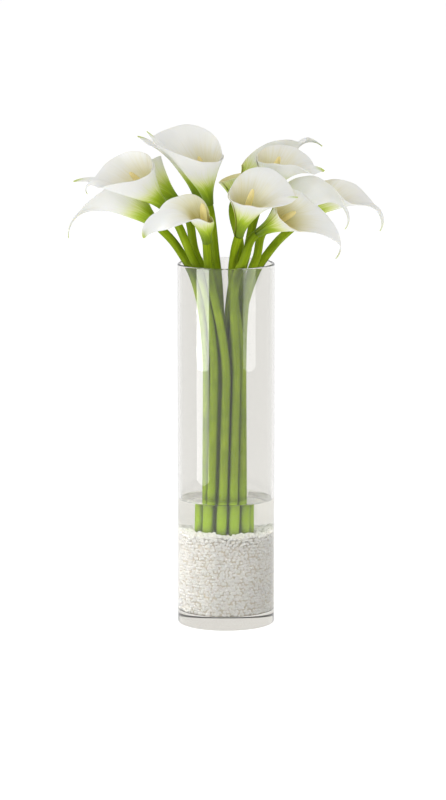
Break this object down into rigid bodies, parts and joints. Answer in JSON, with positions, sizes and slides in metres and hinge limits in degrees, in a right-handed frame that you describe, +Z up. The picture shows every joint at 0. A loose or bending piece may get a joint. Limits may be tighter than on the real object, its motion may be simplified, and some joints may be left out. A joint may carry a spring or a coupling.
{
  "type": "vase of calla lilies",
  "caption": "White calla lilies with green stems, standing in water over white gravel in a tall straight clear glass cylinder vase.",
  "frame": {"origin": "centre of the vase's flat underside", "axes": "+Z up along the vase's axis; the side seen in the picture looks along -Y; +X to the right of it"},
  "size_m": [0.3888, 0.2306, 0.6209],
  "materials": {
    "glass": "clear polished blown glass",
    "water": "clear still water",
    "gravel": "matt washed white gravel",
    "stem": "smooth waxy plant skin",
    "spathe": "satin waxy petal",
    "spadix": "matt, grainy with tiny florets"
  },
  "bodies": {
    "root": {"vase": "glass", "water": "water", "gravel": "gravel", "stem_a": "stem", "spathe_a": "spathe", "spadix_a": "spadix", "stem_b": "stem", "spathe_b": "spathe", "spadix_b": "spadix", "stem_c": "stem", "spathe_c": "spathe", "spadix_c": "spadix", "stem_d": "stem", "spathe_d": "spathe", "spadix_d": "spadix", "stem_e": "stem", "spathe_e": "spathe", "spadix_e": "spadix", "stem_f": "stem", "spathe_f": "spathe", "spadix_f": "spadix", "stem_g": "stem", "spathe_g": "spathe", "spadix_g": "spadix", "stem_h": "stem", "spathe_h": "spathe", "spadix_h": "spadix", "stem_i": "stem", "spathe_i": "spathe", "spadix_i": "spadix", "stem_k": "stem", "spathe_k": "spathe", "spadix_k": "spadix", "stem_l": "stem", "spathe_l": "spathe", "spadix_l": "spadix", "stem_m": "stem", "spathe_m": "spathe", "spadix_m": "spadix", "stem_n": "stem", "spathe_n": "spathe", "spadix_n": "spadix"}
  },
  "joints": []
}
